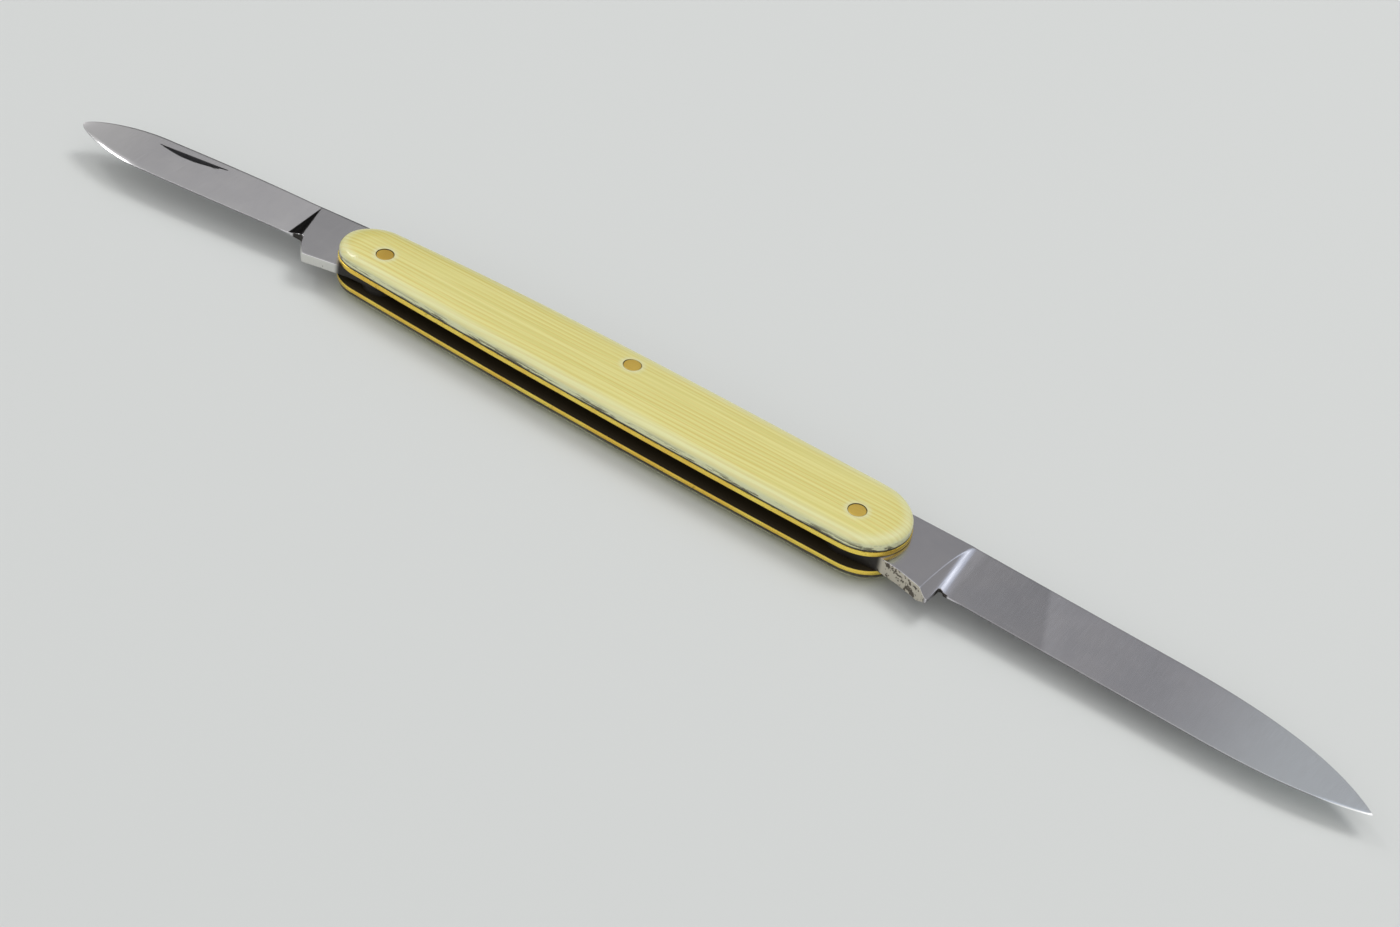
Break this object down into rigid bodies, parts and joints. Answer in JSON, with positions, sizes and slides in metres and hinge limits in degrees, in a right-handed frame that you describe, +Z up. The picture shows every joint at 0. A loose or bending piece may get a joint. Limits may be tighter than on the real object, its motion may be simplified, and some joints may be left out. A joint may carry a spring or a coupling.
{
  "type": "pen knife",
  "caption": "Folding pen knife: a large and a small blade at opposite ends of a slim tapered handle, held by one back spring between brass liners under ivory-coloured scales.",
  "frame": {"origin": "on the flat of the pile scale that the knife lies on, on the line of the two pivot pins and midway between them", "axes": "+X along the handle towards the large blade, +Y towards the back spring, +Z up out of the mark scale"},
  "size_m": [0.1848, 0.012, 0.0071],
  "materials": {
    "scale_celluloid": "polished ivory-yellow celluloid with fine lengthwise grain lines and paler rounded edges",
    "liner_brass": "rolled sheet brass, bright on the worn edges and dark inside the slot",
    "pin_brass": "brass pin filed flush and rubbed dull",
    "spring_steel": "ground carbon steel, darkened by age",
    "large_blade_steel": "glazed carbon steel with fine cross polish, dark stains on the kick",
    "small_blade_steel": "glazed carbon steel with fine cross polish"
  },
  "bodies": {
    "handle": {"mark_scale": "scale_celluloid", "pile_scale": "scale_celluloid", "mark_liner": "liner_brass", "pile_liner": "liner_brass", "back_spring": "spring_steel", "large_pivot_pin": "pin_brass", "small_pivot_pin": "pin_brass", "spring_pin": "pin_brass"},
    "large_blade": {"large_blade": "large_blade_steel"},
    "small_blade": {"small_blade": "small_blade_steel"}
  },
  "joints": [
    {"name": "large_blade_fold", "type": "hinge", "parent": "handle", "child": "large_blade", "pos_m": [0.035, 0, 0.00357], "axis": [0, 0, -1], "range_deg": [0, 178.2]},
    {"name": "small_blade_fold", "type": "hinge", "parent": "handle", "child": "small_blade", "pos_m": [-0.035, 0, 0.00357], "axis": [0, 0, 1], "range_deg": [0, 174]}
  ]
}
